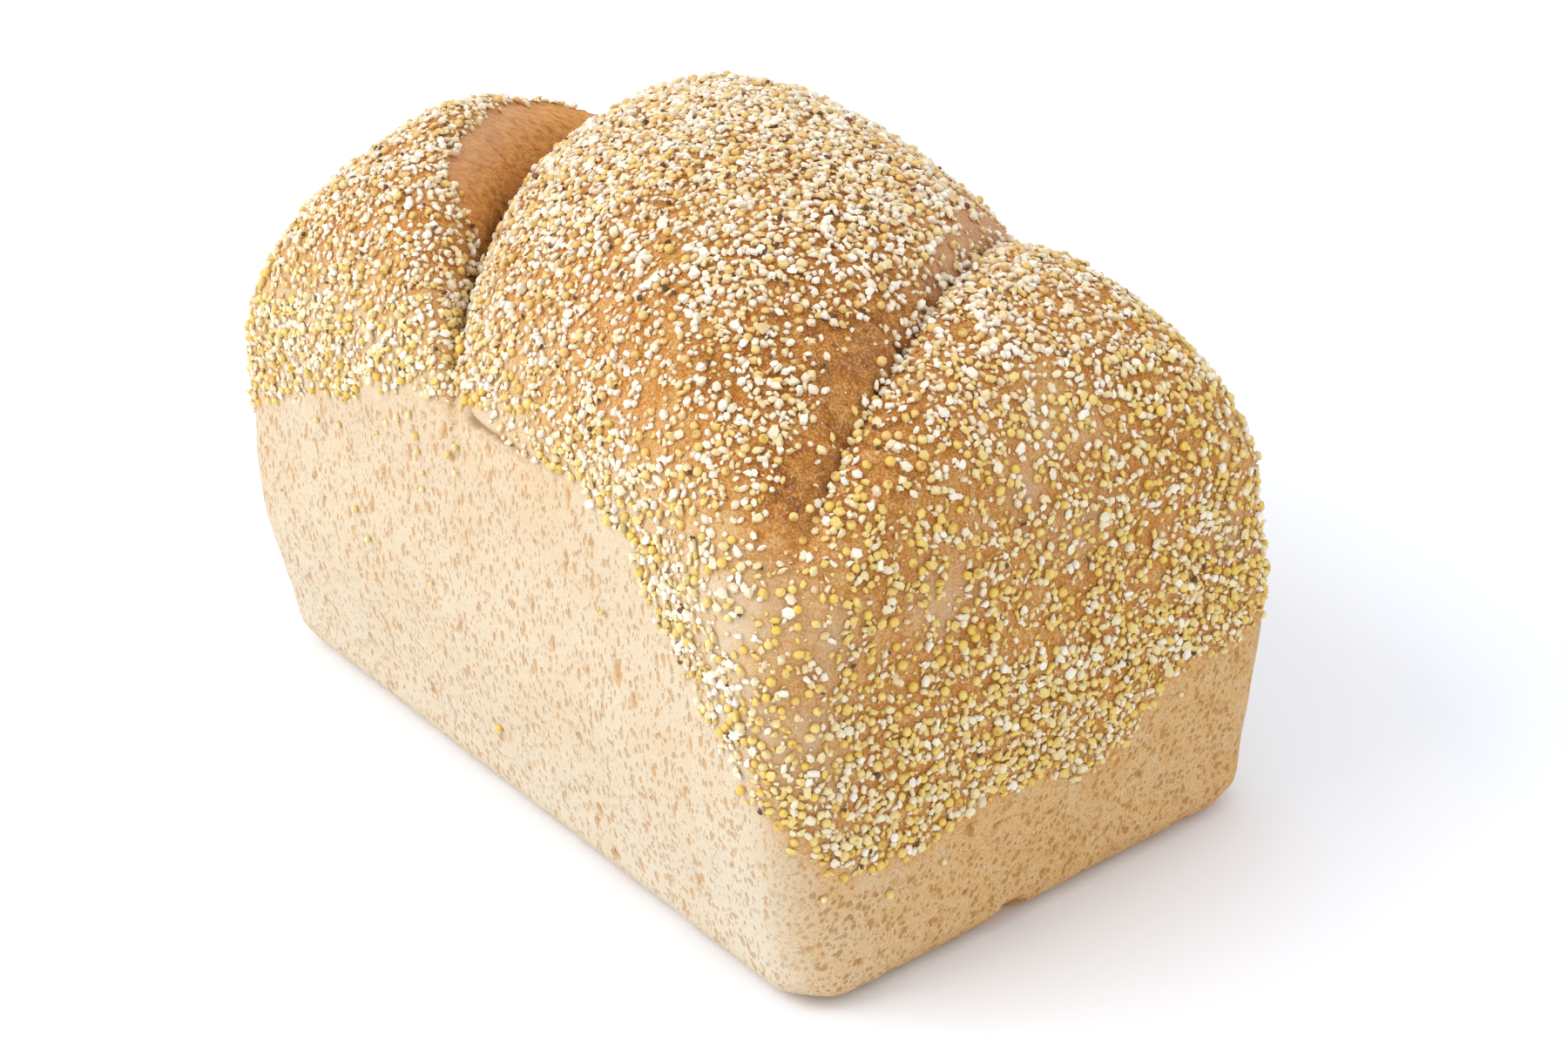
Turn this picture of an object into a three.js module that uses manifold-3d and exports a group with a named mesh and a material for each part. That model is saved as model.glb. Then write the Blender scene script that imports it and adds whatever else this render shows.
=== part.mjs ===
// A spelt loaf baked in a tin. Three lobes of dough lie skewed across the loaf and swell over
// the tin's rim, with two clefts between them. The dome and one part of the walls carry a coat
// of grain. The largest grains are fused to the crust here.
// Millimetres, +Z up. The origin is the middle of the underside, +X runs along the loaf.
import * as THREE from 'three';
import { mergeVertices } from 'three/addons/utils/BufferGeometryUtils.js';
import Module from 'manifold-3d';

const wasm = await Module();
wasm.setup();

// The tin-shaped lower part
const BASE_HALF = { x: 91, y: 54 };
const RIM_HALF = { x: 90, y: 57 };
const RIM_HEIGHT = 70;
const WALL_BULGE = 2;
const CORNER_RADIUS = 11;
const BASE_RADIUS = 7;
// A corner's radius is at most this share of half a side, so that each side keeps some length
const FULLEST_CORNER = 0.999;

// The dome over the rim: it rises steeply at the rim and runs to a ridge along X
const DOME_POWER = 2.7;

// Heights are over the rim. A cleft's floor runs across the loaf at x - skew y + bow y^2.
const CLEFT_A = { x: -54.2, skew: 0.66, bow: 0.004, height: 27 };
const CLEFT_B = { x: 61, skew: 0.53, bow: -0.001, height: 37 };
const LOBE_1 = { height: 53, flank: 25, power: 1.56 };
const LOBE_2 = { height: 54, powerA: 1.49, powerB: 1.74 };
const LOBE_3 = { height: 42, flank: 18, power: 1.65 };

// A chip is missing from the bottom edge of the end at +X: its middle and its three diameters
const CHIP = { x: 89.5, y: -8, z: 1.5, size: [9, 8, 7] };

// How finely the surface is split. Near the ridge, in the last rows, the columns are halved.
const COLUMNS = 88;
const BASE_ROWS = 3;
const WALL_ROWS = 4;
const DOME_ROWS = 16;
const RIDGE_ROWS = 4;
// Edges run along each cleft's floor and at these distances beside it. A vertex that is nearer
// to such a line than this share of its edge moves onto it.
const FLANK_LINES = [0, -3, 3, -9, 9];
const LINE_SNAP = 0.2;
const MERGE_WITHIN = 1e-4;
const FLAT_WITHIN = 0.01;

// The coat of grain reaches down to this height: [way round the rim in mm from +X, height]
const COAT_EDGE = [
  [9, 26], [19, 28], [27, 37], [46, 38], [63, 52], [92, 72], [142, 83], [192, 82], [221, 62],
  [240, 42], [265, 30], [305, 33], [331, 45], [348, 60], [379, 71], [407, 82], [457, 84],
  [473, 81], [485, 70], [498, 56], [514, 40], [523, 29], [538, 25], [561, 30],
];

// The grains: their radius, how much longer than wide and flatter than wide the most extreme ones
// are, how far their middle is over the crust in radii, and their least distances
const GRAIN_RADIUS = [1.1, 1.45];
const GRAIN_STRETCH = 1.25;
const GRAIN_FLATNESS = 0.9;
const GRAIN_LIFT = 0.2;
const GRAIN_SPACING = 10.5;
const GRAIN_OVER_COAT_EDGE = 2;
const GRAIN_SIDES = { round: 6, high: 3 };
const GRAIN_SEED = 7;

// The width of the bare skin on the sides of lobes 1 and 2 that face the clefts
const BARE_FLANK_1 = { width: 24, fromY: -30 };
const BARE_FLANK_2 = 7;

const clamp = (value, low, high) => Math.min(Math.max(value, low), high);

// A small generator of random numbers from 0 to 1, the same on each run
function randomNumbers(seed) {
  let state = seed;
  return () => {
    state = (state + 0x6d2b79f5) | 0;
    let mixed = Math.imul(state ^ (state >>> 15), 1 | state);
    mixed = (mixed + Math.imul(mixed ^ (mixed >>> 7), 61 | mixed)) ^ mixed;
    return ((mixed ^ (mixed >>> 14)) >>> 0) / 4294967296;
  };
}

// The way round a rectangle with round corners, from the middle of its +X side
function roundWay(halfX, halfY, radius) {
  const arc = (Math.PI * radius) / 2;
  return 4 * (halfX - radius) + 4 * (halfY - radius) + 4 * arc;
}

// The point at a share of that way, counter-clockwise
function ringPoint(halfX, halfY, cornerRadius, share) {
  const radius = Math.min(cornerRadius, halfX * FULLEST_CORNER, halfY * FULLEST_CORNER);
  const [straightX, straightY] = [2 * (halfX - radius), 2 * (halfY - radius)];
  const arc = (Math.PI * radius) / 2;
  const way = roundWay(halfX, halfY, radius);
  // Each side in turn: the way along it, its length, and the middle of the arc at its end
  const sides = [
    { along: [0, 1], length: straightY, corner: [halfX - radius, halfY - radius] },
    { along: [-1, 0], length: straightX, corner: [radius - halfX, halfY - radius] },
    { along: [0, -1], length: straightY, corner: [radius - halfX, radius - halfY] },
    { along: [1, 0], length: straightX, corner: [halfX - radius, radius - halfY] },
  ];
  let left = (share * way + straightY / 2) % way;
  for (const { along, length, corner } of sides) {
    if (left < length + arc) {
      const out = [along[1], -along[0]];
      const angle = radius > 0 ? Math.max(left - length, 0) / radius : 0;
      const across = radius * Math.cos(angle);
      const ahead = radius * Math.sin(angle) - Math.max(length - left, 0);
      return [0, 1].map((axis) => corner[axis] + out[axis] * across + along[axis] * ahead);
    }
    left -= length + arc;
  }
  return [halfX, -straightY / 2];
}

const cleftX = (cleft, y) => cleft.x - cleft.skew * y + cleft.bow * y * y;

// From 1 at a lobe's crest to 0 at the foot of its flank, upright at the foot
const arch = (t, power) => Math.sqrt(1 - clamp(t, 0, 1) ** power);

// The dough's height over the rim at a place: lobe 1, 2 or 3 by the side of each cleft
function lobeHeight(x, y) {
  const floorA = cleftX(CLEFT_A, y);
  const floorB = cleftX(CLEFT_B, y);
  const middle = (floorA + floorB) / 2;
  const half = (floorB - floorA) / 2;
  let [cleft, lobe, t] = [CLEFT_A, LOBE_2, Math.abs(x - middle) / half];
  let power = lobe.powerA;
  if (x > middle) [cleft, power] = [CLEFT_B, lobe.powerB];
  if (x < floorA) [lobe, t, power] = [LOBE_1, 1 - (floorA - x) / LOBE_1.flank, LOBE_1.power];
  if (x > floorB) [lobe, t, power] = [LOBE_3, 1 - (x - floorB) / LOBE_3.flank, LOBE_3.power];
  return cleft.height + (lobe.height - cleft.height) * arch(t, power);
}

// The half length and half width of the wall, from 0 over the base edge to 1 at the rim
function wallHalf(level) {
  const flare = Math.sin((level * Math.PI) / 2);
  const bulge = WALL_BULGE * 16 * level ** 2 * (1 - level) ** 2;
  return {
    x: BASE_HALF.x + (RIM_HALF.x - BASE_HALF.x) * flare + bulge,
    y: BASE_HALF.y + (RIM_HALF.y - BASE_HALF.y) * flare + bulge,
  };
}

// One ring of the dome: the rim's outline moved inwards, rounder towards the ridge
function domeRing(level) {
  const inset = RIM_HALF.y * (1 - Math.cos((level * Math.PI) / 2));
  const share = inset / RIM_HALF.y;
  return {
    x: RIM_HALF.x - inset,
    y: RIM_HALF.y - inset,
    radius: CORNER_RADIUS + (RIM_HALF.y - CORNER_RADIUS) * Math.sqrt(share),
    rise: Math.sqrt(1 - (1 - share) ** DOME_POWER),
  };
}

// A place on the crust: the share of the way round, and a level from -1 to 3. The flat underside
// is from -1 to 0, the round edge of the base to 1, the wall to 2 and the dome to 3.
function crustPoint([share, level], height = lobeHeight) {
  if (level > 2) {
    const ring = domeRing(level - 2);
    const [x, y] = ringPoint(ring.x, ring.y, ring.radius, share);
    return [x, y, RIM_HEIGHT + height(x, y) * ring.rise];
  }
  if (level > 1) {
    const half = wallHalf(level - 1);
    const z = BASE_RADIUS + (level - 1) * (RIM_HEIGHT - BASE_RADIUS);
    return [...ringPoint(half.x, half.y, CORNER_RADIUS, share), z];
  }
  const angle = (Math.max(level, 0) * Math.PI) / 2;
  const inwards = (BASE_HALF.y - BASE_RADIUS) * Math.max(-level, 0);
  const inset = BASE_RADIUS * (1 - Math.sin(angle)) + inwards;
  const outline = ringPoint(BASE_HALF.x - inset, BASE_HALF.y - inset, CORNER_RADIUS, share);
  return [...outline, BASE_RADIUS * (1 - Math.cos(angle))];
}

// The crust as rows of places and the triangles between them. The first and last row are folded
// flat onto a line along X, where each place meets its mirror place across the X axis. Near the
// ridge, where the rows are short, every second column ends.
function crustNet() {
  const levels = [-1];
  for (let row = 0; row < BASE_ROWS; row++) levels.push(row / BASE_ROWS);
  for (let row = 0; row < WALL_ROWS; row++) levels.push(1 + row / WALL_ROWS);
  for (let row = 0; row <= DOME_ROWS; row++) levels.push(2 + row / DOME_ROWS);
  const last = levels.length - 1;
  const places = [];
  const rows = levels.map((level, row) => {
    const count = row < last - RIDGE_ROWS ? COLUMNS : COLUMNS / 2;
    const isFolded = row === 0 || row === last;
    const start = places.length;
    const kept = isFolded ? count / 2 + 1 : count;
    for (let column = 0; column < kept; column++) places.push([column / count, level]);
    const vertex = (column) => start + (column < kept ? column : count - column);
    return { count, at: (column) => vertex(column % count) };
  });
  const faces = [];
  for (let row = 0; row < last; row++) {
    const [low, high] = [rows[row], rows[row + 1]];
    for (let column = 0; column < high.count; column++) {
      const [left, right] = [high.at(column), high.at(column + 1)];
      if (low.count === high.count) {
        const [a, b] = [low.at(column), low.at(column + 1)];
        faces.push([a, b, right], [a, right, left]);
      } else {
        const [a, b, c] = [low.at(2 * column), low.at(2 * column + 1), low.at(2 * column + 2)];
        faces.push([a, b, left], [b, c, right], [b, right, left]);
      }
    }
  }
  return { places, faces, floors: new Map() };
}

// Between two places, the short way round
function between([shareA, levelA], [shareB, levelB], t) {
  const turn = ((shareB - shareA + 1.5) % 1) - 0.5;
  return [(shareA + turn * t + 1) % 1, levelA + (levelB - levelA) * t];
}

// Splits the dome's triangles along a line beside a cleft's floor, so that edges follow the cleft
function splitAlong({ places, faces, floors }, cleft, beside) {
  const side = places.map((place) => {
    const [x, y] = crustPoint(place);
    return x - cleftX(cleft, y) - beside;
  });
  const marksFloor = (vertex) => {
    if (beside === 0) floors.set(vertex, cleft);
  };
  const crossing = (a, b) => {
    const onDome = places[a][1] >= 2 && places[b][1] >= 2;
    return onDome && side[a] * side[b] < 0 ? side[a] / (side[a] - side[b]) : -1;
  };
  for (const face of faces) {
    for (let k = 0; k < 3; k++) {
      const [a, b] = [face[k], face[(k + 1) % 3]];
      const t = crossing(a, b);
      const near = t < LINE_SNAP ? a : b;
      if (t < 0 || (t >= LINE_SNAP && t <= 1 - LINE_SNAP) || floors.has(near)) continue;
      places[near] = between(places[a], places[b], t);
      side[near] = 0;
      marksFloor(near);
    }
  }
  const made = new Map();
  const cut = (a, b) => {
    const t = crossing(a, b);
    if (t < 0) return -1;
    const name = Math.min(a, b) + ':' + Math.max(a, b);
    if (!made.has(name)) {
      made.set(name, places.length);
      marksFloor(places.length);
      places.push(between(places[a], places[b], t));
    }
    return made.get(name);
  };
  return faces.flatMap((face) => {
    const cuts = face.map((a, k) => cut(a, face[(k + 1) % 3]));
    const first = cuts.findIndex((vertex, k) => vertex >= 0 && cuts[(k + 2) % 3] < 0);
    if (first < 0) return [face];
    const [a, b, c] = [face[first], face[(first + 1) % 3], face[(first + 2) % 3]];
    const [ab, bc] = [cuts[first], cuts[(first + 1) % 3]];
    return bc < 0 ? [[a, ab, c], [ab, b, c]] : [[ab, b, bc], [a, ab, bc], [a, bc, c]];
  });
}

// The net with edges along its two clefts and their flanks, and where its vertices lie
function crustMesh() {
  const net = crustNet();
  for (const beside of FLANK_LINES) {
    net.faces = splitAlong(net, CLEFT_A, beside);
    net.faces = splitAlong(net, CLEFT_B, beside);
  }
  const points = net.places.map((place, vertex) => {
    const floor = net.floors.get(vertex);
    return crustPoint(place, floor ? () => floor.height : lobeHeight);
  });
  return { ...net, points };
}

// A solid for joining and cutting
function solidFrom(positions, faces) {
  return new wasm.Manifold(new wasm.Mesh({
    numProp: 3,
    vertProperties: new Float32Array(positions),
    triVerts: new Uint32Array(faces),
    tolerance: FLAT_WITHIN,
  }));
}

function solidOf(geometry) {
  geometry.deleteAttribute('normal');
  geometry.deleteAttribute('uv');
  const merged = mergeVertices(geometry, MERGE_WITHIN);
  return solidFrom(merged.attributes.position.array, merged.index.array);
}

// The coat's lower edge at a share of the way round
function coatEdge(share) {
  const way = roundWay(RIM_HALF.x, RIM_HALF.y, CORNER_RADIUS);
  const place = share * way;
  const after = COAT_EDGE.findIndex(([mark]) => mark > place);
  const [last, first] = [COAT_EDGE[COAT_EDGE.length - 1], COAT_EDGE[0]];
  const [from, to] = after < 1
    ? [[last[0] - way, last[1]], first]
    : [COAT_EDGE[after - 1], COAT_EDGE[after]];
  const behind = after === -1 ? place - way : place;
  const t = (behind - from[0]) / (to[0] - from[0]);
  return from[1] + (to[1] - from[1]) * t;
}

// Two flanks beside the clefts stayed free of grain
function isBare({ x, y, z }) {
  if (z < RIM_HEIGHT) return false;
  const toA = cleftX(CLEFT_A, y) - x;
  const toB = cleftX(CLEFT_B, y) - x;
  const flank1 = toA > 0 && toA < BARE_FLANK_1.width && y > BARE_FLANK_1.fromY;
  return flank1 || (toB > 0 && toB < BARE_FLANK_2);
}

// Places for grains: faces of the coated crust in a random order, kept where no grain is near.
// A grain sits on the centre of the face's inner circle, so it crosses no edge of the crust.
function grainPlaces({ places, faces, points }) {
  const random = randomNumbers(GRAIN_SEED);
  const order = faces.map((face) => [random(), face]).sort((a, b) => a[0] - b[0]);
  const kept = [];
  for (const [, face] of order) {
    const [a, b, c] = face.map((vertex) => new THREE.Vector3(...points[vertex]));
    const sides = [b.distanceTo(c), c.distanceTo(a), a.distanceTo(b)];
    const round = sides[0] + sides[1] + sides[2];
    const middle = new THREE.Vector3();
    [a, b, c].forEach((corner, k) => middle.addScaledVector(corner, sides[k] / round));
    const [share] = between(places[face[0]], places[face[1]], 0.5);
    if (middle.z < coatEdge(share) + GRAIN_OVER_COAT_EDGE || isBare(middle)) continue;
    if (kept.some((place) => place.middle.distanceTo(middle) < GRAIN_SPACING)) continue;
    const outward = b.clone().sub(a).cross(c.clone().sub(a));
    const room = outward.length() / round;
    if (room < GRAIN_RADIUS[0]) continue;
    kept.push({ middle, room, outward: outward.normalize(), random: [random(), random(), random()] });
  }
  return kept;
}

// One grain: a six-sided ball a little longer than wide, lying on the crust and part sunk
function grain(place) {
  const [size, shape, turn] = place.random;
  const stretch = 1 + (GRAIN_STRETCH - 1) * shape;
  const wanted = GRAIN_RADIUS[0] + (GRAIN_RADIUS[1] - GRAIN_RADIUS[0]) * size;
  const radius = Math.min(wanted, place.room / stretch);
  const geometry = new THREE.SphereGeometry(radius, GRAIN_SIDES.round, GRAIN_SIDES.high);
  geometry.rotateX(Math.PI / 2);
  geometry.scale(stretch, 1, GRAIN_FLATNESS);
  geometry.rotateZ(turn * 2 * Math.PI);
  const up = new THREE.Vector3(0, 0, 1);
  geometry.applyQuaternion(new THREE.Quaternion().setFromUnitVectors(up, place.outward));
  const middle = place.middle.clone().addScaledVector(place.outward, GRAIN_LIFT * radius);
  geometry.translate(middle.x, middle.y, middle.z);
  return solidOf(geometry);
}

// What the chip takes away: a ball with 80 flat faces, stretched to the chip's diameters
function chip() {
  const geometry = new THREE.IcosahedronGeometry(1 / 2, 1);
  geometry.scale(...CHIP.size);
  geometry.translate(CHIP.x, CHIP.y, CHIP.z);
  return solidOf(geometry);
}

function loafGeometry() {
  const crust = crustMesh();
  let body = solidFrom(crust.points.flat(), crust.faces.flat()).subtract(chip());
  for (const place of grainPlaces(crust)) body = body.add(grain(place));
  const mesh = body.getMesh();
  const geometry = new THREE.BufferGeometry();
  geometry.setAttribute('position', new THREE.BufferAttribute(mesh.vertProperties, 3));
  geometry.setIndex(new THREE.BufferAttribute(mesh.triVerts, 1));
  geometry.computeVertexNormals();
  // The grains stand out a little unevenly, so the whole is centred over its footprint
  geometry.computeBoundingBox();
  const middle = geometry.boundingBox.getCenter(new THREE.Vector3());
  return geometry.translate(-middle.x, -middle.y, 0);
}

const crust = new THREE.MeshStandardMaterial({ color: '#d9a766', roughness: 0.85, metalness: 0 });
const loaf = new THREE.Mesh(loafGeometry(), crust);
loaf.name = 'loaf';

const group = new THREE.Group();
group.add(loaf);

export default group;
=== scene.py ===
# %% [markdown]
# # A spelt loaf under a coat of grain
#
# A tin loaf is one piece of bread with two kinds of crust. Where the dough lay against the tin the
# crust is pale, even and full of small open pores. Where it rose free over the rim it is a golden,
# finely wrinkled skin, here in three lobes that lie aslant with a cleft between each two. Before
# baking the dough was rolled in husked millet and cracked grain, which now sits on the dome and
# hangs down the walls in a ragged edge.
#
# The scene repeats the loaf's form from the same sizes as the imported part, as surfaces worked out
# with numpy. Two closed crusts stand for the bread, and joined meshes hold its thousands of grains.

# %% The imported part
import bpy
import numpy as np
from mathutils import Matrix, Vector
from mathutils.kdtree import KDTree


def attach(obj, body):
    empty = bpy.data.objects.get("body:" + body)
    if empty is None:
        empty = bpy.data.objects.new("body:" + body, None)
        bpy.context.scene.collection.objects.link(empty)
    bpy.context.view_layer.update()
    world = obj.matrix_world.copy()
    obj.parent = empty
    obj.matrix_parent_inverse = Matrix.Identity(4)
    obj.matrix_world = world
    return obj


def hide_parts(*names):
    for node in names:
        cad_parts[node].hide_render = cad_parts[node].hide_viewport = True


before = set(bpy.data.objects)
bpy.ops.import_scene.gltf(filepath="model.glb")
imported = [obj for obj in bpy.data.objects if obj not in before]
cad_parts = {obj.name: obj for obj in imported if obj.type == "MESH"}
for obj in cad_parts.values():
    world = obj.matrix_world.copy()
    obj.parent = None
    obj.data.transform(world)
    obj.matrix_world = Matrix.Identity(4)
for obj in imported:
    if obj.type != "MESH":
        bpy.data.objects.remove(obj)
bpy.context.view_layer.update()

MM = 0.001

# %% [markdown]
# ## The loaf's form
#
# The form is a skin over rings. A ring is a rectangle with round corners, as a bread tin is seen
# from above. The rings start as a line under the loaf, widen to the base, climb the wall to the
# tin's rim, and then draw in over the dome until they are a line again, the ridge. So two numbers
# name each place on the crust: the share of the way round, and a level from -1 to 3. It could also
# be sculpted, but then its sizes couldn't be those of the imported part.

# %% The driving sizes, in millimetres
BASE_HALF = (91, 54)
RIM_HALF = (90, 57)
RIM_HEIGHT = 70
WALL_BULGE = 2
CORNER_RADIUS = 11
BASE_RADIUS = 7
FULLEST_CORNER = 0.999
DOME_POWER = 2.7

# Heights are over the rim. A cleft's floor runs across the loaf at x - skew y + bow y^2.
CLEFT_A = {"x": -54.2, "skew": 0.66, "bow": 0.004, "height": 27}
CLEFT_B = {"x": 61, "skew": 0.53, "bow": -0.001, "height": 37}
LOBE_1 = {"height": 53, "flank": 25, "power": 1.56}
LOBE_2 = {"height": 54, "power_a": 1.49, "power_b": 1.74}
LOBE_3 = {"height": 42, "flank": 18, "power": 1.65}
CLEFT_ROUNDING = 0.9

# %% Rings
def way_round(half_x, half_y, radius):
    """The length of a ring: its straight sides and one full circle."""
    return 4 * (half_x - radius) + 4 * (half_y - radius) + 2 * np.pi * radius


def ring(half_x, half_y, corner, share):
    """The place at a share of the way round, counter-clockwise from the middle of the +X side.
    The ring mirrors itself in X and Y, so only a quarter is worked out: up the side to its corner,
    round the corner by the angle way / radius, and back along the next side."""
    radius = np.minimum(corner, FULLEST_CORNER * np.minimum(half_x, half_y))
    quarter = 0.25 - np.abs((share % 0.5) - 0.25)
    way = quarter * way_round(half_x, half_y, radius)
    straight = half_y - radius
    turned = np.clip(way - straight, 0, np.pi / 2 * radius)
    angle = turned / np.maximum(radius, 1e-6)
    back = np.maximum(way - straight - turned, 0)
    x = half_x - radius + radius * np.cos(angle) - back
    y = np.minimum(way, straight) + radius * np.sin(angle)
    return np.where(np.abs(share % 1 - 0.5) > 0.25, x, -x), np.where(share % 1 < 0.5, y, -y)


RIM_WAY = way_round(*RIM_HALF, CORNER_RADIUS)
print("the way round the rim:", round(RIM_WAY, 1), "mm")

# %% Lobes and clefts
def cleft_x(cleft, y):
    """Where a cleft's floor crosses the line of this y: a straight skew with a slight bow."""
    return cleft["x"] - cleft["skew"] * y + cleft["bow"] * y**2


def arch(t, power):
    """sqrt(1 - t^power): 1 at a lobe's crest, 0 at the foot of its flank, upright at the foot."""
    return np.sqrt(1 - np.clip(t, 0, 1) ** power)


def softened(distance):
    """sqrt(distance^2 + r^2) - r: a distance that leaves zero gently, which rounds a cleft's floor."""
    return np.sqrt(distance**2 + CLEFT_ROUNDING**2) - CLEFT_ROUNDING


def lobe_height(x, y):
    """The dough's height over the rim: the cleft's height, and the arch of the lobe on this side."""
    floor_a, floor_b = cleft_x(CLEFT_A, y), cleft_x(CLEFT_B, y)
    half = (floor_b - floor_a) / 2
    to_a, to_b = softened(x - floor_a), softened(x - floor_b)
    lobe_1 = arch(1 - to_a / LOBE_1["flank"], LOBE_1["power"])
    lobe_2a = arch(1 - to_a / half, LOBE_2["power_a"])
    lobe_2b = arch(1 - to_b / half, LOBE_2["power_b"])
    lobe_3 = arch(1 - to_b / LOBE_3["flank"], LOBE_3["power"])
    sides = [x < floor_a, x < (floor_a + floor_b) / 2, x < floor_b]
    floor = np.where(sides[1], CLEFT_A["height"], CLEFT_B["height"])
    top = np.select([sides[0], sides[2]], [LOBE_1["height"], LOBE_2["height"]], LOBE_3["height"])
    return floor + (top - floor) * np.select(sides, [lobe_1, lobe_2a, lobe_2b], lobe_3)

# %% Any place on the crust
def crust_point(share, level):
    """The place of a share and a level: -1 to 0 is the flat underside, then the base edge (a
    quarter circle) to 1, the wall to 2, and the dome to 3, whose rings draw in by 1 - cos and
    rise by sqrt(1 - (1 - inset)^power) of the lobe's height."""
    under = np.clip(-level, 0, 1)
    edge = np.clip(level, 0, 1) * np.pi / 2
    wall = np.clip(level - 1, 0, 1)
    inwards = 1 - np.cos(np.clip(level - 2, 0, 1) * np.pi / 2)
    flare = np.sin(wall * np.pi / 2)
    bulge = 16 * WALL_BULGE * wall**2 * (1 - wall) ** 2
    inset = BASE_RADIUS * (1 - np.sin(edge)) + (BASE_HALF[1] - BASE_RADIUS) * under
    inset = inset + RIM_HALF[1] * inwards
    half = [base + (rim - base) * flare + bulge - inset for base, rim in zip(BASE_HALF, RIM_HALF)]
    corner = CORNER_RADIUS + (RIM_HALF[1] - CORNER_RADIUS) * np.sqrt(inwards)
    x, y = ring(*half, corner, share)
    rise = np.sqrt(1 - (1 - inwards) ** DOME_POWER)
    z = BASE_RADIUS * (1 - np.cos(edge)) + (RIM_HEIGHT - BASE_RADIUS) * wall
    return np.stack(np.broadcast_arrays(x, y, z + lobe_height(x, y) * rise), -1)


def level_at(share, height):
    """The level of a height: even up the wall, and over the rim the dome's rise solved for it."""
    wall = 1 + (height - BASE_RADIUS) / (RIM_HEIGHT - BASE_RADIUS)
    over = (height - RIM_HEIGHT) / lobe_height(*ring(*RIM_HALF, CORNER_RADIUS, share))
    inwards = 1 - (1 - np.clip(over, 0, 1) ** 2) ** (1 / DOME_POWER)
    dome = 2 + np.arccos(1 - inwards) * 2 / np.pi
    return np.where(height < RIM_HEIGHT, wall, dome)


def outward(points):
    """Unit normals of a grid: the way to the next column crossed with the way to the next row. The
    first and the last row may be folded flat, so they take the normals of the row beside them."""
    along = np.roll(points, -1, 1) - np.roll(points, 1, 1)
    normal = np.cross(along, np.gradient(points, axis=0))
    normal[0], normal[-1] = normal[1], normal[-2]
    return normal / np.maximum(np.linalg.norm(normal, axis=-1, keepdims=True), 1e-9)

# %% [markdown]
# ## Unevenness
#
# Dough is never as even as a formula. Broad swells, fine wrinkles and pores are added along the
# skin's normal. Value noise gives the swells: random numbers on a lattice, blended smoothly. Pores
# come from a cell pattern with one pit at a random place in each cell, which gives each pit a
# chosen real size and lets the pits lie in no order.

# %% Noise and steps
LATTICE = 64


def noise(points, cell, seed):
    """Value noise from -1 to 1: a random number at each lattice corner, `cell` mm apart, blended
    by 3 t^2 - 2 t^3 along each axis."""
    table = np.random.default_rng(seed).uniform(-1, 1, (LATTICE,) * 3)
    place = points / cell
    start = np.floor(place).astype(int)
    blend = place - start
    blend = blend**2 * (3 - 2 * blend)
    total = np.zeros(points.shape[:-1])
    for corner in np.ndindex(2, 2, 2):
        weight = np.prod(np.where(corner, blend, 1 - blend), axis=-1)
        total += weight * table[tuple(np.moveaxis((start + corner) % LATTICE, -1, 0))]
    return total


def step(start, end, value):
    """A smooth step from 0 at start to 1 at end, which may be the lower one."""
    t = np.clip((value - start) / (end - start), 0, 1)
    return t**2 * (3 - 2 * t)


def swell(points):
    """The unevenness that both crusts share, so that they meet without a step."""
    return 0.45 * noise(points, 27, 1) + 0.25 * noise(points, 10, 2) + 0.09 * noise(points, 3.5, 3)

# %% Pits
def pits(way, height, cell, half_width, half_height, chance, seed):
    """Pits from 0 at their rim to 1 at their middle: 1 - distance^2 over an ellipse of random half
    sizes at a random place in its cell. Some cells stay empty."""
    across, high = round(RIM_WAY / cell[0]), round(RIM_HEIGHT * 1.5 / cell[1])
    cell = (RIM_WAY / across, cell[1])
    draw = np.random.default_rng(seed).random((5, across, high))
    column, row = np.floor(way / cell[0]).astype(int), np.floor(height / cell[1]).astype(int)
    deepest = np.zeros(np.broadcast(way, height).shape)
    for aside, over in np.ndindex(3, 3):
        i, j = column + aside - 1, row + over - 1
        shift_x, shift_y, wide, tall, luck = draw[:, i % across, j % high]
        from_x = way - (i + shift_x) * cell[0]
        from_y = height - (j + shift_y) * cell[1]
        width = half_width[0] + (half_width[1] - half_width[0]) * wide
        length = half_height[0] + (half_height[1] - half_height[0]) * tall
        near = 1 - (from_x / width) ** 2 - (from_y / length) ** 2
        deepest = np.maximum(deepest, np.where(luck < chance, near, 0))
    return deepest

# %% [markdown]
# ## Where the coat of grain ends
#
# The grain's lower edge isn't level: it is high along both long sides and hangs down at the
# corners and ends. It also is where the two crusts meet, so its height is a function of the way
# round, from a few marks, and both crusts are built up to it. The far half of the loaf doesn't
# show, and has marks of its own.

# %% The edge of the coat, and the tear under the middle lobe
# The way round the rim in mm from the middle of the +X end, and the height of the edge there
COAT_EDGE = [
    (9, 26), (19, 28), (27, 37), (46, 38), (63, 52), (92, 72), (142, 83), (192, 82), (221, 62),
    (240, 42), (265, 30), (305, 33), (331, 45), (348, 60), (379, 71), (407, 82), (457, 84),
    (473, 81), (485, 70), (498, 56), (514, 40), (523, 29), (538, 25), (561, 30),
]
# Where the tear starts, is wide, narrows to a crack and ends, in mm along the side from its middle
TEAR_FROM, TEAR_WIDE, TEAR_NARROW, TEAR_TO = -5, 0, 12, 30


def coat_edge(share):
    """The height of the coat's edge: straight between its marks, then rounded by an average."""
    marks = np.array(COAT_EDGE, float)
    ways = share * RIM_WAY + np.array([-5, -2.5, 0, 2.5, 5])[:, None]
    return np.interp(ways, *marks.T, period=RIM_WAY).mean(0)


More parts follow.
